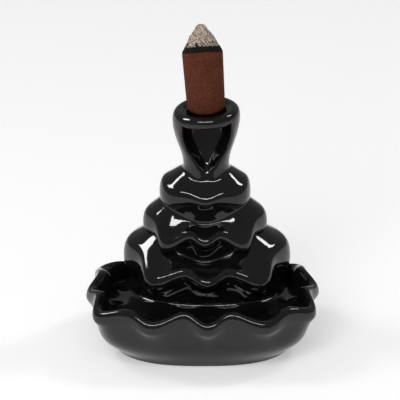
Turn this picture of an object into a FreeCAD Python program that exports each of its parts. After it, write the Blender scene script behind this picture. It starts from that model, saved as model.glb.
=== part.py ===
import FreeCAD, Part
import math
import os

# Backflow incense burner: a slip-cast, glazed waterfall of three scalloped tiers that stands at the back
# of a wide basin with a wavy rim, and a pressed cone that rests in the dish on its head.
# Millimetres, +Z up, the front faces -Y. The origin is on the ground under the middle of the basin.
# A hole in the dish, the flue, leads down into the niche, which opens over the highest tier.

os.makedirs("parts", exist_ok=True)
document = FreeCAD.newDocument("backflow_incense_burner")
sheet = document.addObject("Spreadsheet::Sheet", "Sizes")

# Driving sizes

SIZES = [
    ("wall", 3.23),
    ("around", 88),
    ("hollow_around", 32),
    # Foot: the unglazed flat that the burner stands on
    ("foot_half_width", 30.6),
    ("foot_front", 33.6),
    ("foot_back", 13.0),
    ("foot_squareness", 2.6),
    ("foot_round", 1.2),
    ("pour_hole_radius", 9.0),
    ("pour_hole_set_back", 13.0),
    # Mountain: how far its axis stands behind the middle of the basin, its back behind the axis, and
    # how far the lobes of its tiers fade towards the sides
    ("mountain_set_back", 15.0),
    ("mountain_back", 15.5),
    ("lobe_side_fade", 0.5),
    # Basin
    ("basin_middle_across", -0.8),
    ("basin_half_width", 38.1),
    ("basin_half_depth", 26.0),
    ("basin_squareness", 3.4),
    ("basin_rim_height", 20.2),
    ("basin_floor_height", 14.6),
    ("basin_lip", 4.8),
    ("basin_waves", 11.5),
    ("basin_wave_turn", 3.0),
    ("basin_wave_reach", 1.9),
    ("basin_wave_drop", 1.5),
    ("basin_side_gap", 1.2),
    ("basin_wrap", 28.0),
    ("basin_back_start", 121.0),
    ("basin_back_end", 148.0),
    # Foot of the mountain, in the basin
    ("third_foot_half_width", 26.6),
    ("third_foot_front", 17.6),
    ("third_foot_back_rise", 5.0),
    # Third tier, the lowest
    ("third_rim_half_width", 27.5),
    ("third_rim_front", 23.6),
    ("third_rim_back", 16.5),
    ("third_rim_height", 28.2),
    ("third_side_rise", 0.8),
    ("third_lip", 4.2),
    ("third_side_roll", 5.0),
    ("third_lobes", 8),
    ("third_lobe_reach", 2.6),
    ("third_lobe_drop", 1.5),
    ("third_corner_reach", 1.9),
    ("third_corner_drop", 3.7),
    ("third_across", 0.7),
    # Second tier
    ("second_foot_half_width", 19.0),
    ("second_foot_front", 12.6),
    ("second_foot_back", 12.5),
    ("second_foot_height", 29.0),
    ("second_foot_side_rise", 8.0),
    ("second_rim_half_width", 20.6),
    ("second_rim_front", 17.0),
    ("second_rim_back", 14.0),
    ("second_rim_height", 40.0),
    ("second_side_rise", 0.8),
    ("second_lip", 3.4),
    ("second_side_roll", 3.4),
    ("second_lobes", 8),
    ("second_lobe_reach", 1.6),
    ("second_lobe_drop", 1.5),
    ("second_corner_reach", 0.7),
    ("second_corner_drop", 3.7),
    # First tier, the highest
    ("first_foot_half_width", 15.0),
    ("first_foot_front", 9.8),
    ("first_foot_back", 11.0),
    ("first_foot_height", 42.0),
    ("first_foot_side_rise", 5.6),
    ("first_rim_half_width", 15.9),
    ("first_rim_front", 12.2),
    ("first_rim_back", 11.5),
    ("first_rim_height", 51.8),
    ("first_side_rise", 0.2),
    ("first_lip", 3.0),
    ("first_side_roll", 4.0),
    ("first_lobes", 6),
    ("first_lobe_reach", 0.5),
    ("first_lobe_drop", 0.4),
    # Neck and head
    ("neck_foot_half_width", 9.3),
    ("neck_foot_front", 6.4),
    ("neck_foot_height", 56.8),
    ("neck_foot_side_rise", 1.8),
    ("neck_radius", 7.8),
    ("neck_height", 61.5),
    ("head_radius", 11.5),
    ("head_height", 77.4),
    ("head_across", 0.4),
    ("head_lean", 3.6),
    ("head_roll_radius", 9.3),
    ("head_roll_height", 81.3),
    ("dish_radius", 7.3),
    ("dish_depth", 0.9),
    # Niche and flue
    ("flue_radius", 2.0),
    ("niche_ceiling", 2.6),
    ("niche_half_width", 7.4),
    ("niche_foot_half_width", 1.5),
    ("niche_taper_end", 0.72),
    ("niche_foot_height", 59.0),
    ("niche_back", 3.2),
    ("niche_edge_round", 1.7),
    ("niche_across", 0.6),
    ("niche_hollow", 4.2),
    # Incense cone
    ("cone_radius", 7.0),
    ("cone_height", 30.8),
    ("cone_body_share", 0.656),
    ("cone_ash_radius", 6.7),
    ("cone_ash_waist_radius", 4.9),
    ("cone_ash_waist_share", 0.851),
    ("cone_tip_radius", 2.3),
    ("cone_edge_round", 1.5),
    ("cone_waist_round", 5.0),
    ("cone_tip_round", 2.0),
    ("cone_bore_radius", 1.6),
    ("cone_bore_share", 0.55),
    ("cone_set_back", 0.8),
]

for row, (alias, value) in enumerate(SIZES, start=1):
    sheet.set("A%d" % row, alias)
    sheet.set("B%d" % row, str(value))
    sheet.setAlias("B%d" % row, alias)
document.recompute()


def size(alias):
    return float(sheet.get(alias))


# Rings of the control net: every ring runs once round the burner, from the middle of its front

def angles(columns):
    return [2.0 * math.pi * column / columns for column in range(columns)]


def front_share(angle):
    return math.cos(angle) ** 2 * (1.0 + math.cos(angle)) / 2.0


def back_share(angle):
    return math.cos(angle) ** 2 * (1.0 - math.cos(angle)) / 2.0


def side_share(angle):
    return math.sin(angle) ** 2


def corner_share(angle):
    return math.sin(2.0 * angle) ** 2 * (1.0 + math.cos(angle)) / 2.0


class Ring:
    """One level of the mountain: its reach to the sides, front and back, and its heights there. Its front
    corners, halfway between front and sides, can reach further out and hang lower."""

    def __init__(self, side, front, back, height, side_rise=0.0, back_rise=0.0, across=0.0,
                 lobes=0, reach=0.0, drop=0.0, lean=0.0, corner_reach=0.0, corner_drop=0.0):
        self.side = side
        self.front = front
        self.back = back
        self.height = height
        self.side_rise = side_rise
        self.back_rise = back_rise
        self.across = across
        self.lobes = lobes
        self.reach = reach
        self.drop = drop
        self.lean = lean
        self.corner_reach = corner_reach
        self.corner_drop = corner_drop

    def point(self, angle):
        side = side_share(angle)
        wave = math.cos(self.lobes * angle) * (1.0 - size("lobe_side_fade") * side) if self.lobes else 0.0
        front = front_share(angle)
        back = back_share(angle)
        corner = corner_share(angle)
        radius = self.side * side + self.front * front + self.back * back + self.reach * wave
        radius += self.corner_reach * corner
        rise = self.side_rise * side + self.back_rise * back - self.drop * wave - self.corner_drop * corner
        x = self.across + radius * math.sin(angle)
        y = size("mountain_set_back") - radius * math.cos(angle)
        z = self.height + rise + math.tan(math.radians(self.lean)) * x
        return FreeCAD.Vector(x, y, z)

    def net(self, columns):
        return [self.point(angle) for angle in angles(columns)]

    def shifted(self, rise, side_rise):
        """The same ring without its lobes, higher all round and higher again at its sides."""
        return Ring(self.side, self.front, self.back, self.height + rise, self.side_rise + side_rise,
                    self.back_rise, self.across, corner_reach=self.corner_reach,
                    corner_drop=self.corner_drop)


def mixed(low, high, share):
    return low + (high - low) * share


def between(low, high, radial, vertical, lobes=0, reach=0.0, drop=0.0):
    """A ring part of the way from one ring to another, outwards by one share and upwards by another."""
    return Ring(
        mixed(low.side, high.side, radial),
        mixed(low.front, high.front, radial),
        mixed(low.back, high.back, radial),
        mixed(low.height, high.height, vertical),
        mixed(low.side_rise, high.side_rise, vertical),
        mixed(low.back_rise, high.back_rise, vertical),
        mixed(low.across, high.across, radial),
        lobes,
        reach,
        drop,
        mixed(low.lean, high.lean, vertical),
        mixed(low.corner_reach, high.corner_reach, radial),
        mixed(low.corner_drop, high.corner_drop, vertical),
    )


def tier(foot, rim, lip, side_roll, next_foot):
    """The rings from a tier's foot up its wall, over its rolled lip and in to the foot of the next.
    The lip is thicker at the sides by the side roll, so that the tier ends there in round shoulders."""
    under = rim.shifted(-lip * 0.5, -side_roll * 0.6)
    over = rim.shifted(lip * 0.5, side_roll * 0.4)
    full = (rim.lobes, rim.reach, rim.drop)
    half = (rim.lobes, rim.reach * 0.6, rim.drop * 0.6)
    trace = (rim.lobes, rim.reach * 0.2, rim.drop * 0.2)
    return [
        between(foot, under, 0.06, 0.3),
        between(foot, under, 0.35, 0.8, *half),
        between(foot, under, 0.92, 1.02, *full),
        rim,
        between(over, next_foot, 0.12, 0.0, *full),
        between(over, next_foot, 0.42, 0.3, *half),
        between(over, next_foot, 0.82, 0.8, *trace),
        next_foot,
    ]


def rolled_surface(rows):
    """A smooth skin over the net: clamped from ring to ring and closed on itself round the burner."""
    count = len(rows)
    columns = len(rows[0])
    degree = 3
    up_knots = list(range(count - degree + 1))
    up_multiplicities = [degree + 1] + [1] * (count - degree - 1) + [degree + 1]
    round_knots = list(range(columns + 1))
    round_multiplicities = [1] * (columns + 1)
    surface = Part.BSplineSurface()
    surface.buildFromPolesMultsKnots(
        rows, up_multiplicities, round_multiplicities, up_knots, round_knots, False, True, degree, degree)
    return surface


def capped_solid(rows):
    """The solid between the skin over the rings and two flat ends at the first and last ring."""
    skin = rolled_surface(rows).toShape()
    ends = []
    for ring_points in (rows[0], rows[-1]):
        level = min(skin.Edges, key=lambda edge: end_distance(edge, ring_points))
        ends.append(Part.Face(Part.Wire(level)))
    shell = Part.makeShell([skin] + ends)
    shell.sewShape()
    solid = Part.Solid(shell)
    if solid.Volume < 0.0:
        solid.reverse()
    return solid


def end_distance(edge, ring_points):
    """How far an edge of the skin lies from a ring of the net; a seam that runs upwards is no end."""
    if not edge.isClosed():
        return float("inf")
    middle = sum((point for point in ring_points), FreeCAD.Vector()) * (1.0 / len(ring_points))
    return edge.CenterOfMass.distanceToPoint(middle)


# Rings that the casting and its hollow share

third_foot = Ring(size("third_foot_half_width"), size("third_foot_front"), size("mountain_back"),
                  size("basin_floor_height"), 0.0, size("third_foot_back_rise"), size("third_across"))
third_rim = Ring(size("third_rim_half_width"), size("third_rim_front"), size("third_rim_back"),
                 size("third_rim_height"), size("third_side_rise"), size("third_side_rise"),
                 size("third_across"), int(size("third_lobes")), size("third_lobe_reach"),
                 size("third_lobe_drop"), 0.0, size("third_corner_reach"), size("third_corner_drop"))
second_foot = Ring(size("second_foot_half_width"), size("second_foot_front"), size("second_foot_back"),
                   size("second_foot_height"), size("second_foot_side_rise"),
                   size("second_foot_side_rise"))
second_rim = Ring(size("second_rim_half_width"), size("second_rim_front"), size("second_rim_back"),
                  size("second_rim_height"), size("second_side_rise"), size("second_side_rise"), 0.0,
                  int(size("second_lobes")), size("second_lobe_reach"), size("second_lobe_drop"), 0.0,
                  size("second_corner_reach"), size("second_corner_drop"))
first_foot = Ring(size("first_foot_half_width"), size("first_foot_front"), size("first_foot_back"),
                  size("first_foot_height"), size("first_foot_side_rise"), size("first_foot_side_rise"))
first_rim = Ring(size("first_rim_half_width"), size("first_rim_front"), size("first_rim_back"),
                 size("first_rim_height"), size("first_side_rise"), size("first_side_rise"), 0.0,
                 int(size("first_lobes")), size("first_lobe_reach"), size("first_lobe_drop"))
neck_foot = Ring(size("neck_foot_half_width"), size("neck_foot_front"), size("neck_foot_half_width"),
                 size("neck_foot_height"), size("neck_foot_side_rise"), size("neck_foot_side_rise"),
                 size("head_across"))


# Basin: wavy lip, wall and floor, which run into the mountain at its back

def oval_radius(angle, half_width, half_depth, power):
    """The polar radius of an oval between an ellipse and a rectangle."""
    across = abs(math.sin(angle) / half_width) ** power
    along = abs(math.cos(angle) / half_depth) ** power
    return (across + along) ** (-1.0 / power)


def eased(share):
    share = max(0.0, min(1.0, share))
    return share * share * (3.0 - 2.0 * share)


def back_blend(angle):
    """0 round the open basin, 1 behind the mountain, where lip and floor run into its back."""
    degrees = math.degrees(min(angle, 2.0 * math.pi - angle))
    return eased((degrees - size("basin_back_start")) / (size("basin_back_end") - size("basin_back_start")))


def basin_angle(angle):
    """The angle round the middle of the basin that faces an angle round the axis of the mountain."""
    turn = math.radians(size("basin_wrap")) * math.sin(angle) ** 2
    return angle + turn if angle < math.pi else angle - turn


def rim_wave(angle):
    """The rim's waves: even along the rim, which the oval's own angle and the plain angle share."""
    signed = angle if angle < math.pi else angle - 2.0 * math.pi
    on_oval = math.atan2(math.sin(signed) / size("basin_half_width"),
                         math.cos(signed) / size("basin_half_depth"))
    along = (signed + on_oval) / 2.0
    return math.cos(size("basin_waves") * (along - math.radians(size("basin_wave_turn"))))


def rim_point(angle, height, wave):
    """A point on the basin's rim line at a height, with its share of the rim's waves."""
    swing = rim_wave(angle) * wave
    radius = oval_radius(angle, size("basin_half_width"), size("basin_half_depth"),
                         size("basin_squareness"))
    radius += swing * size("basin_wave_reach")
    x = size("basin_middle_across") + radius * math.sin(angle)
    y = -radius * math.cos(angle)
    return FreeCAD.Vector(x, y, height - swing * size("basin_wave_drop"))


def basin_ring(inwards, share, height, wave, back_share_of_height):
    """A ring of the basin: a distance in from the rim line, then a share of the rest of the way to the
    foot of the mountain. Behind the mountain it runs up the mountain's back instead."""
    points = []
    for angle in angles(int(size("around"))):
        round_basin = basin_angle(angle)
        foot = third_foot.point(angle)
        rim = rim_point(round_basin, height, wave)
        level_foot = FreeCAD.Vector(foot.x, foot.y, rim.z)
        across = level_foot - rim
        room = max(0.5, 0.8 * across.Length - size("basin_side_gap"))
        narrowing = min(1.0, room / (1.1 * size("basin_lip")))
        start = rim + across * (inwards * narrowing / across.Length)
        open_point = start + (level_foot - start) * share
        back_point = FreeCAD.Vector(foot.x, foot.y, foot.z * back_share_of_height)
        blend = back_blend(round_basin)
        points.append(open_point * (1.0 - blend) + back_point * blend)
    return points


def foot_ring(outwards, height):
    """A ring at the foot: an oval under the middle of the whole burner."""
    middle = size("mountain_set_back") - (size("foot_front") - size("foot_back")) / 2.0
    half_depth = (size("foot_front") + size("foot_back")) / 2.0
    points = []
    for angle in map(basin_angle, angles(int(size("around")))):
        radius = oval_radius(angle, size("foot_half_width"), half_depth, size("foot_squareness")) + outwards
        x = size("basin_middle_across") + radius * math.sin(angle)
        y = middle - radius * math.cos(angle)
        points.append(FreeCAD.Vector(x, y, height))
    return points


def basin_rows():
    rim = size("basin_rim_height")
    lip = size("basin_lip")
    floor = size("basin_floor_height")
    round_size = size("foot_round")
    return [
        foot_ring(-round_size, 0.0),
        foot_ring(-0.3 * round_size, 0.0),
        foot_ring(0.2 * round_size, 0.35 * round_size),
        foot_ring(0.9 * round_size, 1.8 * round_size),
        basin_ring(lip * 0.66, 0.0, rim * 0.33, 0.0, 0.36),
        basin_ring(lip * 0.32, 0.0, rim * 0.58, 0.0, 0.48),
        basin_ring(lip * 0.15, 0.0, rim - lip * 0.95, 0.6, 0.58),
        basin_ring(-lip * 0.10, 0.0, rim - lip * 0.55, 1.0, 0.67),
        basin_ring(-lip * 0.05, 0.0, rim + lip * 0.15, 1.0, 0.75),
        basin_ring(lip * 0.42, 0.0, rim + lip * 0.35, 1.0, 0.81),
        basin_ring(lip * 0.95, 0.0, rim + lip * 0.05, 1.0, 0.86),
        basin_ring(lip * 1.1, 0.05, mixed(floor, rim, 0.55), 0.8, 0.90),
        basin_ring(lip * 1.1, 0.2, mixed(floor, rim, 0.08), 0.4, 0.94),
        basin_ring(lip * 1.1, 0.6, floor, 0.0, 0.97),
    ]


# Mountain: three tiers, neck, head and dish

def head_ring(radius, height, lean_share=1.0, front=None):
    return Ring(radius, radius if front is None else front, radius, height, across=size("head_across"),
                lean=size("head_lean") * lean_share)


def head_rings():
    """Rings from the neck up over the roll and into the dish, each with its share of the niche."""
    neck = size("neck_radius")
    wide = size("head_radius")
    low = size("neck_height")
    top = size("head_height")
    roll = size("head_roll_radius")
    roll_top = size("head_roll_height")
    dish = size("dish_radius")
    dish_floor = roll_top - size("dish_depth")
    ceiling = dish_floor - size("niche_ceiling")
    return [
        (head_ring(neck, mixed(size("neck_foot_height"), low, 0.55), 0.1, neck * 0.86), 0.5),
        (head_ring(neck, low, 0.2, neck * 0.92), 1.0),
        (head_ring(mixed(neck, wide, 0.10), mixed(low, top, 0.16), 0.3, neck * 0.98), 1.0),
        (head_ring(mixed(neck, wide, 0.32), mixed(low, top, 0.34), 0.5), 1.0),
        (head_ring(mixed(neck, wide, 0.60), mixed(low, top, 0.52), 0.7), 1.0),
        (head_ring(mixed(neck, wide, 0.82), mixed(low, top, 0.70), 0.9), 1.0),
        (head_ring(mixed(neck, wide, 0.96), mixed(low, top, 0.86)), 1.0),
        (head_ring(wide, ceiling - 1.0), 1.0, 0.6),
        (head_ring(wide, ceiling - 0.3), 0.86, 0.4),
        (head_ring(wide, ceiling + 0.3), 0.40, -0.2),
        (head_ring(wide, ceiling + 0.9), 0.03, -1.3),
        (head_ring(mixed(roll, wide, 0.92), mixed(ceiling, roll_top, 0.50)), 0.0, -0.6),
        (head_ring(mixed(roll, wide, 0.80), mixed(ceiling, roll_top, 0.74)), 0.0),
        (head_ring(mixed(roll, wide, 0.45), roll_top - 0.2), 0.0),
        (head_ring(roll, roll_top + 0.2), 0.0),
        (head_ring(mixed(roll, dish, 0.62), roll_top + 0.05), 0.0),
        (head_ring(dish + 0.35, mixed(roll_top, dish_floor, 0.8)), 0.0),
        (head_ring(dish, dish_floor), 0.0),
    ]


def niche_net(ring, share, sag=0.0):
    """A head ring with its front pressed in to the back of the niche, between rounded edges.
    The sag shapes the ceiling: it rises inside and hangs down a little at its front lip."""
    low = size("niche_foot_height")
    high = size("head_roll_height") - size("dish_depth") - size("niche_ceiling")
    edge = size("niche_edge_round")
    points = []
    for point in ring.net(int(size("around"))):
        up = max(0.0, min(1.0, (point.z - low) / (high - low)))
        half = mixed(size("niche_foot_half_width"), size("niche_half_width"),
                     eased(up / size("niche_taper_end")))
        aside = abs(point.x - size("niche_across"))
        inside = eased((half + edge - aside) / (2.0 * edge))
        back = size("mountain_set_back") + mixed(-0.55 * size("neck_radius"), size("niche_back"), up ** 0.7)
        back -= size("niche_hollow") * min(1.0, aside / half) ** 2 * up
        if point.y < back:
            point.y = mixed(point.y, back, inside * share)
            point.z += sag * inside
        points.append(point)
    return points


def casting_rows():
    rows = basin_rows()
    rings = [third_foot]
    rings += tier(third_foot, third_rim, size("third_lip"), size("third_side_roll"), second_foot)
    rings += tier(second_foot, second_rim, size("second_lip"), size("second_side_roll"), first_foot)
    rings += tier(first_foot, first_rim, size("first_lip"), size("first_side_roll"), neck_foot)
    rows += [ring.net(int(size("around"))) for ring in rings]
    rows += [niche_net(*pressed) for pressed in head_rings()]
    return rows


# Hollow: what the slip left when it was poured out, a wall's thickness inside the skin

def inner(ring, depth, drop):
    return Ring(ring.side - depth, ring.front - depth, ring.back - depth, ring.height - drop,
                ring.side_rise, ring.back_rise, ring.across, corner_drop=ring.corner_drop)


def level(ring):
    """The same ring with no rise at its sides, so that a flat end can close it."""
    return Ring(ring.side, ring.front, ring.back, ring.height, across=ring.across)


def inner_tier(foot, rim, next_foot):
    """The hollow's rings inside one tier: up its wall, out into its rim and in under its floor."""
    wall = size("wall")
    behind_lobes = wall + rim.reach
    return [
        inner(between(foot, rim, 0.1, 0.3), wall, wall * 0.3),
        inner(between(foot, rim, 0.9, 0.75), behind_lobes, wall * 0.6),
        inner(between(rim, next_foot, 0.1, 0.0), behind_lobes, wall * 0.9),
        inner(between(rim, next_foot, 0.5, 0.5), wall * 1.25, wall * 1.25),
        inner(next_foot, wall, wall * 0.9),
    ]


def hollow_rows():
    wall = size("wall")
    floor = size("basin_floor_height")
    chamber = Ring(size("third_foot_half_width"), size("foot_front"), size("mountain_back"), 0.0,
                   across=size("third_across"))
    rings = [
        inner(chamber, wall * 2.2, -wall),
        inner(chamber, wall * 1.8, -wall),
        inner(chamber, wall * 1.5, -mixed(wall, floor, 0.3)),
        inner(chamber, wall * 1.4, wall * 1.6 - floor),
        inner(chamber, wall * 1.8, wall - floor),
        level(inner(between(chamber, third_foot, 0.6, 1.0), wall * 1.4, wall)),
        level(inner(third_foot, wall * 1.2, wall * 0.9)),
    ]
    rings += inner_tier(third_foot, third_rim, second_foot)
    rings += inner_tier(second_foot, second_rim, first_foot)
    rings += [
        inner(between(first_foot, first_rim, 0.1, 0.3), wall, wall * 0.3),
        inner(between(first_foot, first_rim, 0.7, 0.7), wall, wall * 0.6),
        level(inner(between(first_foot, neck_foot, 0.6, 0.8), wall, wall * 0.9)),
        level(inner(between(first_foot, neck_foot, 1.0, 0.85), wall, wall * 0.9)),
    ]
    return [ring.net(int(size("hollow_around"))) for ring in rings]


def feature(name, shape):
    item = document.addObject("Part::Feature", name)
    item.Label = name
    item.Shape = shape
    return item


def boolean(kind, name, base, tool):
    item = document.addObject("Part::" + kind, name)
    item.Label = name
    item.Base = base
    item.Tool = tool
    return item


casting_skin = feature("casting_skin", capped_solid(casting_rows()))
casting_hollow = feature("casting_hollow", capped_solid(hollow_rows()))

# Pour hole through the foot, into the hollow

pour_hole = document.addObject("Part::Cylinder", "pour_hole")
pour_hole.setExpression("Radius", "Sizes.pour_hole_radius")
pour_hole.setExpression("Height", "Sizes.wall * 2 + 1")
pour_hole.setExpression("Placement.Base.y", "Sizes.pour_hole_set_back")
pour_hole.setExpression("Placement.Base.z", "-1")

# Flue from the dish down into the niche

flue = document.addObject("Part::Cylinder", "flue")
flue.setExpression("Radius", "Sizes.flue_radius")
flue.setExpression("Height", "Sizes.niche_ceiling * 2 + Sizes.dish_depth")
flue.setExpression("Placement.Base.x", "Sizes.head_across")
flue.setExpression("Placement.Base.y", "Sizes.mountain_set_back")
flue.setExpression("Placement.Base.z", "Sizes.head_roll_height - Sizes.dish_depth - Sizes.niche_ceiling * 2")

hollowed = boolean("Cut", "hollowed_casting", casting_skin, casting_hollow)
poured = boolean("Cut", "poured_casting", hollowed, pour_hole)
burner_body = boolean("Cut", "burner_body", poured, flue)

# Incense cone: a pressed cylinder with a burnt-down point and a blind bore up from its base

cone_core = document.addObject("Part::Cylinder", "cone_core")
cone_core.setExpression("Radius", "Sizes.cone_radius")
cone_core.setExpression("Height", "Sizes.cone_height * Sizes.cone_body_share")
cone_ash = document.addObject("Part::Cone", "cone_ash")
cone_ash.setExpression("Radius1", "Sizes.cone_ash_radius")
cone_ash.setExpression("Radius2", "Sizes.cone_ash_waist_radius")
cone_ash.setExpression("Height", "Sizes.cone_height * (Sizes.cone_ash_waist_share - Sizes.cone_body_share)")
cone_ash.setExpression("Placement.Base.z", "Sizes.cone_height * Sizes.cone_body_share")
cone_tip = document.addObject("Part::Cone", "cone_tip")
cone_tip.setExpression("Radius1", "Sizes.cone_ash_waist_radius")
cone_tip.setExpression("Radius2", "Sizes.cone_tip_radius")
cone_tip.setExpression("Height", "Sizes.cone_height * (1 - Sizes.cone_ash_waist_share)")
cone_tip.setExpression("Placement.Base.z", "Sizes.cone_height * Sizes.cone_ash_waist_share")
cone_body = boolean("Fuse", "cone_body", cone_core, cone_ash)
cone_solid = boolean("Fuse", "cone_solid", cone_body, cone_tip)
document.recompute()


def edges_at(shape, height, radius):
    """The numbers of a shape's round edges at a height, as a fillet wants them."""
    found = []
    for number, edge in enumerate(shape.Edges, start=1):
        flat = abs(edge.BoundBox.ZMax - height) < 0.001 and abs(edge.BoundBox.ZMin - height) < 0.001
        if flat and abs(edge.BoundBox.XLength / 2.0 - radius) < 0.001:
            found.append(number)
    return found


CONE_ROUNDS = [
    (0.0, size("cone_radius"), size("cone_edge_round")),
    (size("cone_height") * size("cone_ash_waist_share"), size("cone_ash_waist_radius"),
     size("cone_waist_round")),
    (size("cone_height"), size("cone_tip_radius"), size("cone_tip_round")),
]
cone_rounded = document.addObject("Part::Fillet", "cone_rounded")
cone_rounded.Base = cone_solid
rounds = []
for height, radius, round_size in CONE_ROUNDS:
    rounds += [(number, round_size, round_size) for number in edges_at(cone_solid.Shape, height, radius)]
cone_rounded.Edges = rounds

cone_bore = document.addObject("Part::Cylinder", "cone_bore")
cone_bore.setExpression("Radius", "Sizes.cone_bore_radius")
cone_bore.setExpression("Height", "Sizes.cone_height * Sizes.cone_bore_share + 1")
cone_bore.setExpression("Placement.Base.z", "-1")
incense_cone = boolean("Cut", "incense_cone", cone_rounded, cone_bore)
incense_cone.setExpression("Placement.Base.x", "Sizes.head_across")
incense_cone.setExpression("Placement.Base.y", "Sizes.mountain_set_back + Sizes.cone_set_back")
incense_cone.setExpression(
    "Placement.Base.z",
    "Sizes.head_roll_height - Sizes.dish_depth + Sizes.head_across * tan(Sizes.head_lean * 1 deg)")
incense_cone.setExpression("Placement.Rotation.Axis.y", "1")
incense_cone.setExpression("Placement.Rotation.Axis.z", "0")
incense_cone.setExpression("Placement.Rotation.Angle", "-Sizes.head_lean * 1 deg")

document.recompute()

for item in document.Objects:
    if "Invalid" in item.State or "Error" in item.State:
        raise RuntimeError("failed: " + item.Label)

for item in (burner_body, incense_cone):
    if item.Shape.isNull() or not item.Shape.isValid():
        raise RuntimeError("bad shape: " + item.Label)
    item.Shape.exportStep("parts/" + item.Label + ".step")
    print(item.Label, len(item.Shape.Solids), round(item.Shape.Volume, 1), item.Shape.BoundBox)
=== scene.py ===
import math

import bpy
import bmesh
import numpy as np
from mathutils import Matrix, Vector


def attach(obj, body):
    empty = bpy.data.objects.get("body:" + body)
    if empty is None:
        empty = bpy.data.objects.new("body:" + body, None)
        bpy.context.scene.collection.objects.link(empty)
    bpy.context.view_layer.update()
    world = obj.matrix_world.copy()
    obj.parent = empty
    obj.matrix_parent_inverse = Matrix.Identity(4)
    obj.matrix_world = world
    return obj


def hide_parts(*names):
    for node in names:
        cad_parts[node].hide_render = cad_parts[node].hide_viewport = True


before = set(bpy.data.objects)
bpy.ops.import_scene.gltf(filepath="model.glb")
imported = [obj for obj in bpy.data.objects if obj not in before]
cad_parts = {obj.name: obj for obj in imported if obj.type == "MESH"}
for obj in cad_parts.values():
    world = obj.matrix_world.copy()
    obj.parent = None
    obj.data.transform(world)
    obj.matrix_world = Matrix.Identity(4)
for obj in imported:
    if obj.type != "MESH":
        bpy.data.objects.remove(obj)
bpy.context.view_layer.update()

# Backflow incense burner: the black glaze of the burner, the pressed and half-burnt cone on its dish,
# a white floor, three softboxes and a fill light. Metres, +Z up, the front faces -Y.

MM = 0.001

# The cone on its dish: sizes of its profile, and where it stands

CONE_BASE = Vector((0.4, 15.8, 80.425)) * MM
CONE_LEAN = math.radians(3.6)
CONE_RADIUS = 6.95 * MM
CONE_FOOT_RADIUS = 6.45 * MM
CONE_BODY_HEIGHT = 20.4 * MM
ASH_WAIST_RADIUS = 4.3 * MM
ASH_WAIST_HEIGHT = 26.4 * MM
TIP_RADIUS = 1.45 * MM
CONE_HEIGHT = 30.8 * MM
EDGE_ROUND = 1.5 * MM
SHOULDER_ROUND = 0.8 * MM
WAIST_ROUND = 6.0 * MM
TIP_ROUND = 1.3 * MM
BORE_RADIUS = 1.6 * MM
BORE_DEPTH = 16.94 * MM

# The burn: it has stopped higher at the front, over a charred ring whose top has teeth

BURN_START = 9.0 * MM
FRONT_LIFT = 3.4 * MM
CHAR_HEIGHT = 20.1 * MM
ASH_HEIGHT = 22.5 * MM


# Building node trees

class Tree:
    """A node tree with short calls to add nodes and join them."""

    def __init__(self, nodes_and_links):
        self.tree = nodes_and_links
        self.nodes = nodes_and_links.nodes
        self.links = nodes_and_links.links

    def add(self, kind, settings=None, **inputs):
        made = self.nodes.new(kind)
        for name, value in (settings or {}).items():
            setattr(made, name, value)
        for name, value in inputs.items():
            self.feed(made.inputs[name.replace("_", " ")], value)
        return made

    def feed(self, socket, value):
        if isinstance(value, bpy.types.Node):
            value = next(output for output in value.outputs if output.enabled)
        if isinstance(value, bpy.types.NodeSocket):
            self.links.new(value, socket)
        else:
            socket.default_value = value

    def math(self, operation, *values, clamp=False):
        made = self.nodes.new("ShaderNodeMath")
        made.operation = operation
        made.use_clamp = clamp
        for socket, value in zip(made.inputs, values):
            self.feed(socket, value)
        return made.outputs[0]

    def vector(self, operation, first, second=None, scale=None):
        made = self.nodes.new("ShaderNodeVectorMath")
        made.operation = operation
        self.feed(made.inputs[0], first)
        if second is not None:
            self.feed(made.inputs[1], second)
        if scale is not None:
            self.feed(made.inputs["Scale"], scale)
        return made.outputs[0]

    def ramp(self, value, low, high, to_low=0.0, to_high=1.0):
        """A value eased from one range to another and held at its ends."""
        made = self.nodes.new("ShaderNodeMapRange")
        made.interpolation_type = "SMOOTHSTEP"
        for socket, number in zip(made.inputs, (value, low, high, to_low, to_high)):
            self.feed(socket, number)
        return made.outputs[0]

    def blend(self, share, first, second, kind="RGBA", way="MIX"):
        made = self.nodes.new("ShaderNodeMix")
        made.data_type = kind
        if kind == "RGBA":
            made.blend_type = way
        ready = [socket for socket in made.inputs if socket.enabled]
        for socket, value in zip(ready, (share, first, second)):
            self.feed(socket, value)
        return next(output for output in made.outputs if output.enabled)


def shader_group(name, inputs, outputs):
    """An empty shader group with named sockets, and its two ends."""
    group = bpy.data.node_groups.new(name, "ShaderNodeTree")
    for socket, kind, value in inputs:
        made = group.interface.new_socket(name=socket, in_out="INPUT", socket_type="NodeSocket" + kind)
        if value is not None:
            made.default_value = value
    for socket, kind in outputs:
        group.interface.new_socket(name=socket, in_out="OUTPUT", socket_type="NodeSocket" + kind)
    tree = Tree(group)
    start = tree.add("NodeGroupInput")
    end = tree.add("NodeGroupOutput")
    return group, tree, start.outputs, end.inputs


def place_group(tree, group, **inputs):
    return tree.add("ShaderNodeGroup", {"node_tree": group}, **inputs)


def noise(tree, vector, scale, detail=2.0, roughness=0.5, distortion=0.0):
    made = tree.add("ShaderNodeTexNoise", Vector=vector, Scale=scale, Detail=detail,
                    Roughness=roughness, Distortion=distortion)
    return made.outputs["Fac"]


def colour(red, green, blue):
    """A colour as read off a screen, 0 to 255, as the light that a shader works in."""
    light = []
    for part in (red, green, blue):
        share = part / 255.0
        light.append(share / 12.92 if share <= 0.04045 else ((share + 0.055) / 1.055) ** 2.4)
    return (*light, 1.0)


# Effects that more than one material uses

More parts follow.
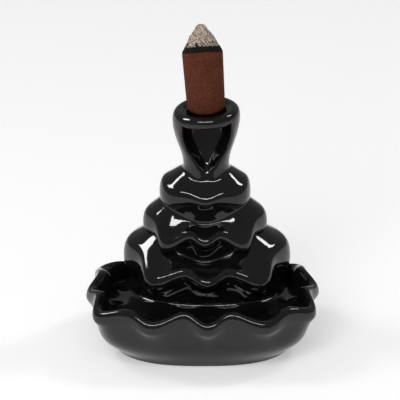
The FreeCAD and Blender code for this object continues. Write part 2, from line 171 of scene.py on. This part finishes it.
def mottle_group():
    """Slow, cloudy change over a surface, between two values."""
    group, tree, start, end = shader_group(
        "mottle",
        [("Vector", "Vector", None), ("Scale", "Float", 100.0), ("Low", "Float", 0.0),
         ("High", "Float", 1.0)],
        [("Value", "Float")])
    cloud = noise(tree, start["Vector"], start["Scale"], 3.0, 0.55, 0.3)
    tree.feed(end["Value"], tree.ramp(cloud, 0.3, 0.7, start["Low"], start["High"]))
    return group


def grain_group():
    """Fine powder grain: a height for the bump and a mask of the dark gaps between the grains."""
    group, tree, start, end = shader_group(
        "powder_grain",
        [("Vector", "Vector", None), ("Scale", "Float", 1500.0), ("Coarseness", "Float", 0.5)],
        [("Height", "Float"), ("Gaps", "Float")])
    fine = noise(tree, start["Vector"], start["Scale"], 2.0, 0.6)
    wide = tree.math("MULTIPLY", start["Scale"], 0.35)
    coarse = noise(tree, start["Vector"], wide, 3.0, 0.6, 0.4)
    height = tree.blend(start["Coarseness"], fine, coarse, "FLOAT")
    tree.feed(end["Height"], height)
    tree.feed(end["Gaps"], tree.ramp(height, 0.58, 0.40))
    return group


mottle = mottle_group()
powder_grain = grain_group()


def new_material(name):
    material = bpy.data.materials.new(name)
    material.use_nodes = True
    tree = Tree(material.node_tree)
    shader = next(node for node in tree.nodes if node.type == "BSDF_PRINCIPLED")
    return material, tree, shader


# Black glaze

GLAZE_BLACK = colour(14, 13, 14)
GLAZE_BROWN = colour(84, 36, 25)
BARE_CLAY = colour(62, 52, 47)
BARE_BELOW = 0.35 * MM
GLAZED_ABOVE = 0.9 * MM
BROWN_SHARE = 0.75
RUN_SCALE = 45.0
PIT_SCALE = 900.0
PIT_SHARE = 0.02
GLAZE_IOR = 1.48


def black_glaze():
    """Thick black glaze that has run thin and reddish brown on the sharpest rims. The foot is bare
    clay."""
    material, tree, shader = new_material("black_glaze")
    place = tree.add("ShaderNodeTexCoord").outputs["Object"]
    ridge = tree.add("ShaderNodeAttribute", {"attribute_name": "ridge"}).outputs["Fac"]
    height = tree.add("ShaderNodeSeparateXYZ", Vector=place).outputs["Z"]

    patches = place_group(tree, mottle, Vector=place, Scale=170.0, Low=0.15, High=1.0)
    thin = tree.math("MULTIPLY", tree.ramp(ridge, 0.35, 0.95), patches, clamp=True)
    clouds = place_group(tree, mottle, Vector=place, Scale=70.0, Low=0.8, High=1.5)
    black = tree.blend(1.0, GLAZE_BLACK, tree.add("ShaderNodeCombineColor", Red=clouds, Green=clouds,
                                                  Blue=clouds), way="MULTIPLY")
    glazed = tree.blend(tree.math("MULTIPLY", thin, BROWN_SHARE), black, GLAZE_BROWN)
    bare = tree.ramp(height, GLAZED_ABOVE, BARE_BELOW)
    tree.feed(shader.inputs["Base Color"], tree.blend(bare, glazed, BARE_CLAY))

    smears = place_group(tree, mottle, Vector=place, Scale=240.0, Low=0.03, High=0.08)
    tree.feed(shader.inputs["Roughness"], tree.blend(bare, smears, 0.8, "FLOAT"))

    runs = noise(tree, place, RUN_SCALE, 1.0)
    pits = noise(tree, place, PIT_SCALE)
    skin = tree.math("ADD", runs, tree.math("MULTIPLY", pits, PIT_SHARE))
    bump = tree.add("ShaderNodeBump", Height=skin, Strength=0.35, Distance=1.0 * MM)
    tree.feed(shader.inputs["Normal"], bump)
    shader.inputs["IOR"].default_value = GLAZE_IOR
    return material


# Pressed incense

INCENSE_BROWN = colour(114, 61, 40)
INCENSE_DARK = colour(58, 30, 22)
CHAR_BLACK = colour(20, 23, 23)
ASH_PALE = colour(222, 206, 188)
ASH_ROSY = colour(205, 184, 168)
ASH_SPECK = colour(84, 74, 64)
TOOTH_SCALE = 950.0
TOOTH_LENGTH = 2.2 * MM
WANDER_SCALE = 300.0
WANDER_HEIGHT = 1.2 * MM
POWDER_SCALE = 2100.0
FLAKE_SCALE = 1750.0
INCENSE_IOR = 1.4
INCENSE_SHINE = 0.2


def pressed_incense():
    """Brown pressed powder, charred black in a ring and burnt to pale, crumbling ash above it. The mesh
    says how high each point stood on the cone before it was lit."""
    material, tree, shader = new_material("pressed_incense")
    place = tree.add("ShaderNodeTexCoord").outputs["Object"]
    upright = tree.add("ShaderNodeMapping", {"vector_type": "TEXTURE"}, Vector=place,
                       Location=CONE_BASE, Rotation=(0.0, -CONE_LEAN, 0.0))
    height = tree.add("ShaderNodeAttribute", {"attribute_name": "unlit_height"}).outputs["Fac"]

    streaks = tree.add("ShaderNodeMapping", Vector=upright, Scale=(1.0, 1.0, 0.12))
    teeth = noise(tree, streaks, TOOTH_SCALE, 2.0, 0.6)
    long_teeth = tree.math("MULTIPLY", tree.ramp(teeth, 0.52, 0.66), TOOTH_LENGTH)
    wavy = noise(tree, upright, WANDER_SCALE, 3.0, 0.7)
    wander = tree.math("MULTIPLY", tree.math("SUBTRACT", wavy, 0.5), WANDER_HEIGHT)
    charred = tree.ramp(tree.math("SUBTRACT", height, wander), CHAR_HEIGHT - 0.25 * MM,
                        CHAR_HEIGHT + 0.25 * MM)
    ash_level = tree.math("SUBTRACT", height, tree.math("ADD", wander, long_teeth))
    ashen = tree.ramp(ash_level, ASH_HEIGHT - 0.15 * MM, ASH_HEIGHT + 0.45 * MM)

    powder = place_group(tree, powder_grain, Vector=place, Scale=POWDER_SCALE, Coarseness=0.25)
    flakes = place_group(tree, powder_grain, Vector=place, Scale=FLAKE_SCALE, Coarseness=0.1)
    tone = place_group(tree, mottle, Vector=place, Scale=330.0, Low=0.0, High=0.3)
    body = tree.blend(tone, INCENSE_BROWN, INCENSE_DARK)
    body = tree.blend(tree.math("MULTIPLY", powder.outputs["Gaps"], 0.6), body, INCENSE_DARK)
    ash_tone = place_group(tree, mottle, Vector=place, Scale=600.0, Low=0.0, High=1.0)
    ash = tree.blend(ash_tone, ASH_PALE, ASH_ROSY)
    ash = tree.blend(tree.math("MULTIPLY", flakes.outputs["Gaps"], 0.85), ash, ASH_SPECK)
    burnt = tree.blend(ashen, CHAR_BLACK, ash)
    tree.feed(shader.inputs["Base Color"], tree.blend(charred, body, burnt))

    relief = tree.blend(charred, powder.outputs["Height"], flakes.outputs["Height"], "FLOAT")
    bump = tree.add("ShaderNodeBump", Height=relief, Strength=0.9, Distance=0.5 * MM)
    tree.feed(shader.inputs["Normal"], bump)
    worn = place_group(tree, mottle, Vector=place, Scale=500.0, Low=0.80, High=0.97)
    tree.feed(shader.inputs["Roughness"], worn)
    shader.inputs["IOR"].default_value = INCENSE_IOR
    shader.inputs["Specular IOR Level"].default_value = INCENSE_SHINE
    return material


glaze = black_glaze()
incense = pressed_incense()


# Burner: the casting itself under its glaze

WELD_DISTANCE = 0.002 * MM
SHARP_ANGLE = math.radians(50.0)
SHARPEST_EDGE = 1.6 * MM
RIDGE_ROUNDS = 6


def merged_copy(node, name):
    """A copy of a solid's mesh with its triangles joined up."""
    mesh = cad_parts[node].data.copy()
    mesh.name = name
    work = bmesh.new()
    work.from_mesh(mesh)
    bmesh.ops.remove_doubles(work, verts=work.verts, dist=WELD_DISTANCE)
    work.to_mesh(mesh)
    work.free()
    mesh.materials.clear()
    piece = bpy.data.objects.new(name, mesh)
    bpy.context.scene.collection.objects.link(piece)
    return piece


def arrays_of(mesh):
    places = np.empty(len(mesh.vertices) * 3)
    mesh.vertices.foreach_get("co", places)
    normals = np.empty(len(mesh.vertices) * 3)
    mesh.vertices.foreach_get("normal", normals)
    edges = np.empty(len(mesh.edges) * 2, dtype=np.int32)
    mesh.edges.foreach_get("vertices", edges)
    return places.reshape(-1, 3), normals.reshape(-1, 3), edges.reshape(-1, 2)


def neighbour_mean(values, edges, rounds):
    """Values evened out along the edges of a mesh."""
    count = np.zeros(len(values))
    np.add.at(count, edges.ravel(), 1.0)
    for _ in range(rounds):
        total = np.zeros(len(values))
        np.add.at(total, edges[:, 0], values[edges[:, 1]])
        np.add.at(total, edges[:, 1], values[edges[:, 0]])
        values = 0.5 * values + 0.5 * total / np.maximum(count, 1.0)
    return values


def mark_ridges(mesh, sharpest):
    """Writes how sharply the surface turns outwards at each point: 1 on an edge of that radius."""
    places, normals, edges = arrays_of(mesh)
    step = places[edges[:, 1]] - places[edges[:, 0]]
    square = np.maximum((step ** 2).sum(1), 1e-12)
    bend = np.zeros(len(places))
    weight = np.zeros(len(places))
    for start, sign in ((0, -2.0), (1, 2.0)):
        turn = sign * (normals[edges[:, start]] * step).sum(1)
        np.add.at(bend, edges[:, start], turn)
        np.add.at(weight, edges[:, start], square)
    curvature = neighbour_mean(bend / np.maximum(weight, 1e-12), edges, RIDGE_ROUNDS)
    ridge = np.clip(curvature * sharpest, 0.0, 1.0)
    attribute = mesh.attributes.new("ridge", "FLOAT", "POINT")
    attribute.data.foreach_set("value", ridge.astype(np.float32))


def make_burner():
    piece = merged_copy("burner_body", "glazed_burner")
    mesh = piece.data
    mesh.shade_smooth()
    mesh.set_sharp_from_angle(angle=SHARP_ANGLE)
    mark_ridges(mesh, SHARPEST_EDGE)
    mesh.materials.append(glaze)
    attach(piece, "root")
    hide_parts("burner_body")


# Cone: a profile swept round by a node tree, burnt down and crumbled

CONE_PROFILE = [
    (0.0, BORE_DEPTH, 0.0),
    (BORE_RADIUS, BORE_DEPTH, 0.2 * MM),
    (BORE_RADIUS, 0.0, 0.1 * MM),
    (CONE_FOOT_RADIUS, 0.0, EDGE_ROUND),
    (CONE_RADIUS, CONE_BODY_HEIGHT, SHOULDER_ROUND),
    (ASH_WAIST_RADIUS, ASH_WAIST_HEIGHT, WAIST_ROUND),
    (TIP_RADIUS, CONE_HEIGHT, TIP_ROUND),
    (0.0, CONE_HEIGHT, 0.0),
]
GRAIN_SCALE = 1500.0
CRUMB_SCALE = 1300.0
LUMP_SCALE = 520.0


def profile_object():
    """Half of the cone's section as a line, with the round of each corner."""
    mesh = bpy.data.meshes.new("cone_profile")
    points = [(radius, 0.0, height) for radius, height, _ in CONE_PROFILE]
    mesh.from_pydata(points, [(at, at + 1) for at in range(len(points) - 1)], [])
    rounds = mesh.attributes.new("round", "FLOAT", "POINT")
    rounds.data.foreach_set("value", [corner for _, _, corner in CONE_PROFILE])
    piece = bpy.data.objects.new("cone_profile", mesh)
    bpy.context.scene.collection.objects.link(piece)
    return piece


def geometry_group(name, inputs):
    group = bpy.data.node_groups.new(name, "GeometryNodeTree")
    group.interface.new_socket(name="Geometry", in_out="INPUT", socket_type="NodeSocketGeometry")
    for socket, kind, value in inputs:
        made = group.interface.new_socket(name=socket, in_out="INPUT", socket_type="NodeSocket" + kind)
        if value is not None:
            made.default_value = value
    group.interface.new_socket(name="Geometry", in_out="OUTPUT", socket_type="NodeSocketGeometry")
    tree = Tree(group)
    start = tree.add("NodeGroupInput").outputs
    end = tree.add("NodeGroupOutput").inputs
    return group, tree, start, end


def cone_tree():
    group, tree, start, end = geometry_group("turned_and_crumbled", [
        ("Around", "Int", 240),
        ("Along", "Int", 280),
        ("Front Lift", "Float", FRONT_LIFT),
        ("Grain", "Float", 0.16 * MM),
        ("Crumble", "Float", 0.7 * MM),
        ("Burn Height", "Float", CHAR_HEIGHT),
        ("Seed", "Float", 4.0),
        ("Material", "Material", None),
    ])
    # The profile's line, rounded at its corners and swept round the upright axis
    corner = tree.add("GeometryNodeInputNamedAttribute", {"data_type": "FLOAT"}, Name="round")
    line = tree.add("GeometryNodeMeshToCurve", Mesh=start["Geometry"])
    rounded = tree.add("GeometryNodeFilletCurve", Curve=line, Radius=corner.outputs["Attribute"])
    rounded.inputs["Limit Radius"].default_value = True
    poly = rounded.inputs.get("Mode")
    if poly is not None:
        poly.default_value = "Poly"
    else:
        rounded.mode = "POLY"
    rounded.inputs["Count"].default_value = 12
    grid = tree.add("GeometryNodeMeshGrid", Size_X=1.0, Size_Y=1.0, Vertices_X=start["Around"],
                    Vertices_Y=start["Along"])
    share = tree.add("ShaderNodeSeparateXYZ", Vector=tree.add("GeometryNodeInputPosition"))
    up_the_line = tree.math("ADD", share.outputs["Y"], 0.5, clamp=True)
    turn = tree.math("MULTIPLY", share.outputs["X"], 2.0 * math.pi)
    section = tree.add("GeometryNodeSampleCurve", {"mode": "FACTOR"}, Curves=rounded, Factor=up_the_line)
    swept = tree.add("ShaderNodeVectorRotate", {"rotation_type": "Z_AXIS"},
                     Vector=section.outputs["Position"], Angle=turn)
    turned = tree.add("GeometryNodeSetPosition", Geometry=grid, Position=swept)
    closed = tree.add("GeometryNodeMergeByDistance", Geometry=turned, Distance=0.004 * MM)

    # The burn: what stands unlit is lifted towards the front, outside the bore
    here = tree.add("ShaderNodeSeparateXYZ", Vector=tree.add("GeometryNodeInputPosition"))
    height = here.outputs["Z"]
    level = tree.add("ShaderNodeCombineXYZ", X=here.outputs["X"], Y=here.outputs["Y"])
    from_axis = tree.add("ShaderNodeVectorMath", {"operation": "LENGTH"})
    tree.feed(from_axis.inputs[0], level)
    known = tree.add("GeometryNodeStoreNamedAttribute", {"data_type": "FLOAT", "domain": "POINT"},
                     Geometry=closed, Name="unlit_height")
    stored = next(socket for socket in known.inputs if socket.name == "Value" and socket.enabled)
    tree.feed(stored, height)
    to_front = tree.math("DIVIDE", here.outputs["Y"],
                         tree.math("MAXIMUM", from_axis.outputs["Value"], 0.5 * MM))
    front = tree.math("POWER", tree.math("MULTIPLY", tree.math("SUBTRACT", 1.0, to_front), 0.5), 2.0)
    rising = tree.ramp(height, BURN_START, start["Burn Height"])
    falling = tree.ramp(height, CONE_HEIGHT, start["Burn Height"])
    off_bore = tree.ramp(from_axis.outputs["Value"], BORE_RADIUS, BORE_RADIUS * 2.0)
    lift = tree.math("MULTIPLY", tree.math("MULTIPLY", front, start["Front Lift"]),
                     tree.math("MULTIPLY", off_bore, tree.math("MULTIPLY", rising, falling)))
    burnt_down = tree.add("GeometryNodeSetPosition", Geometry=known,
                          Offset=tree.add("ShaderNodeCombineXYZ", Z=lift))

    # The grain of the powder and the crumbling ash, both inwards only
    inwards = tree.vector("SCALE", tree.add("GeometryNodeInputNormal").outputs[0], scale=-1.0)
    beside_bore = tree.ramp(from_axis.outputs["Value"], BORE_RADIUS * 1.3, BORE_RADIUS * 2.0)
    above_bore = tree.ramp(height, BORE_DEPTH * 1.3, BORE_DEPTH * 1.4)
    outside = tree.math("MAXIMUM", beside_bore, above_bore)
    outside = tree.math("MULTIPLY", outside, tree.ramp(height, 0.1 * MM, 1.0 * MM))
    calm_tip = tree.ramp(height, CONE_HEIGHT, CONE_HEIGHT - 1.5 * MM, 0.1, 1.0)
    outside = tree.math("MULTIPLY", outside, calm_tip)
    crumbling = tree.ramp(height, start["Burn Height"], tree.math("ADD", start["Burn Height"], 2.5 * MM))
    moved = tree.vector("ADD", tree.add("GeometryNodeInputPosition"), start["Seed"])
    grains = noise(tree, moved, GRAIN_SCALE, 3.0, 0.6)
    flakes = tree.add("ShaderNodeTexVoronoi", {"feature": "F1"}, Vector=moved, Scale=CRUMB_SCALE)
    lumps = noise(tree, moved, LUMP_SCALE, 3.0, 0.6)
    crumbled = tree.math("ADD", tree.math("MULTIPLY", flakes.outputs["Distance"], 0.5), lumps)
    fine = tree.math("MULTIPLY", tree.math("SUBTRACT", grains, 0.3), start["Grain"])
    rough = tree.math("MULTIPLY", tree.math("SUBTRACT", crumbled, 0.3), start["Crumble"])
    depth = tree.math("MULTIPLY", tree.math("MAXIMUM", tree.blend(crumbling, fine, rough, "FLOAT"), 0.0),
                      outside)
    crumbly = tree.add("GeometryNodeSetPosition", Geometry=burnt_down,
                       Offset=tree.vector("SCALE", inwards, scale=depth))
    stood = tree.add("GeometryNodeTransform", Geometry=crumbly, Translation=CONE_BASE,
                     Rotation=(0.0, -CONE_LEAN, 0.0))
    smooth = tree.add("GeometryNodeSetShadeSmooth", Geometry=stood)
    real = tree.add("GeometryNodeRealizeInstances", Geometry=smooth)
    dressed = tree.add("GeometryNodeSetMaterial", Geometry=real, Material=start["Material"])
    tree.feed(end["Geometry"], dressed)
    return group


def make_cone():
    profile = profile_object()
    group = cone_tree()
    modifier = profile.modifiers.new("turned", "NODES")
    modifier.node_group = group
    for item in group.interface.items_tree:
        if item.name == "Material":
            modifier[item.identifier] = incense
    bpy.context.view_layer.update()
    evaluated = profile.evaluated_get(bpy.context.evaluated_depsgraph_get())
    mesh = bpy.data.meshes.new_from_object(evaluated)
    bpy.data.objects.remove(profile)
    work = bmesh.new()
    work.from_mesh(mesh)
    bmesh.ops.recalc_face_normals(work, faces=work.faces)
    work.to_mesh(mesh)
    work.free()
    mesh.name = "backflow_cone"
    piece = bpy.data.objects.new("backflow_cone", mesh)
    bpy.context.scene.collection.objects.link(piece)
    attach(piece, "root")
    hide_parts("incense_cone")


make_burner()
make_cone()


# Studio: a white floor, softboxes and a dim room

FLOOR_SIZE = 6.0
FLOOR_WHITE = colour(236, 236, 236)
FLOOR_GLOW = 0.37
ROOM_LIGHT = 0.25
MIDDLE = Vector((0.0, 15.0, 40.0)) * MM


def make_floor():
    """A white floor that keeps the burner's soft shadow, and looks as white in the glaze as to the
    eye."""
    mesh = bpy.data.meshes.new("floor")
    half = FLOOR_SIZE / 2.0
    corners = [(-half, -half, 0.0), (half, -half, 0.0), (half, half, 0.0), (-half, half, 0.0)]
    mesh.from_pydata(corners, [], [(0, 1, 2, 3)])
    floor = bpy.data.objects.new("floor", mesh)
    bpy.context.scene.collection.objects.link(floor)
    material, tree, shader = new_material("white_floor")
    shader.inputs["Base Color"].default_value = FLOOR_WHITE
    shader.inputs["Roughness"].default_value = 0.8
    shader.inputs["Emission Color"].default_value = (1.0, 1.0, 1.0, 1.0)
    ray = tree.add("ShaderNodeLightPath").outputs
    seen = tree.math("MAXIMUM", ray["Is Camera Ray"],
                     tree.math("MAXIMUM", ray["Is Glossy Ray"], ray["Is Transmission Ray"]))
    tree.feed(shader.inputs["Emission Strength"], tree.math("MULTIPLY", seen, FLOOR_GLOW))
    mesh.materials.append(material)


def softbox(name, place, width, height, light, gleam):
    """A softbox that faces the burner: its even light, and just before it the brighter face that the
    glaze mirrors."""
    towards = (MIDDLE - Vector(place)).normalized()
    facing = towards.to_track_quat("-Z", "Y").to_euler()
    for part, power, ahead in (("light", light, 0.0), ("gleam", gleam, 0.02)):
        if power == 0.0:
            continue
        face = bpy.data.lights.new(name + "_" + part, "AREA")
        face.shape = "RECTANGLE"
        face.size = width
        face.size_y = height
        face.energy = power
        lamp = bpy.data.objects.new(name + "_" + part, face)
        lamp.location = Vector(place) + towards * ahead
        lamp.rotation_euler = facing
        lamp.visible_camera = False
        lamp.visible_diffuse = part == "light"
        lamp.visible_glossy = part == "gleam"
        bpy.context.scene.collection.objects.link(lamp)


def light_the_room():
    world = bpy.data.worlds.new("room")
    bpy.context.scene.world = world
    world.use_nodes = True
    background = next(node for node in world.node_tree.nodes if node.type == "BACKGROUND")
    background.inputs["Color"].default_value = (1.0, 1.0, 1.0, 1.0)
    background.inputs["Strength"].default_value = ROOM_LIGHT


make_floor()
softbox("softbox_front", (-0.08, -0.44, 0.68), width=0.60, height=0.08, light=1.0, gleam=3.3)
softbox("softbox_left", (-0.49, 0.14, 0.58), width=0.17, height=0.22, light=1.0, gleam=2.5)
softbox("softbox_right", (0.46, 0.21, 0.60), width=0.07, height=0.18, light=0.9, gleam=0.8)
softbox("softbox_fill", (-0.30, -0.70, 0.55), width=0.40, height=0.40, light=2.3, gleam=0.0)
light_the_room()

# Camera: from the front and above, far off, as the photograph was taken

CAMERA_DISTANCE = 1.5
CAMERA_ELEVATION = math.radians(25.0)
CAMERA_LENS = 394.7
AIM = Vector((-1.71, 17.59, 45.55)) * MM


def make_camera():
    data = bpy.data.cameras.new("camera")
    data.lens = CAMERA_LENS
    data.sensor_width = 36.0
    data.clip_start = 0.05
    data.clip_end = 20.0
    camera = bpy.data.objects.new("camera", data)
    back = Vector((0.0, -math.cos(CAMERA_ELEVATION), math.sin(CAMERA_ELEVATION)))
    camera.location = AIM + back * CAMERA_DISTANCE
    camera.rotation_euler = (-back).to_track_quat("-Z", "Y").to_euler()
    bpy.context.scene.collection.objects.link(camera)
    bpy.context.scene.camera = camera


make_camera()
bpy.context.scene.view_settings.view_transform = "Standard"
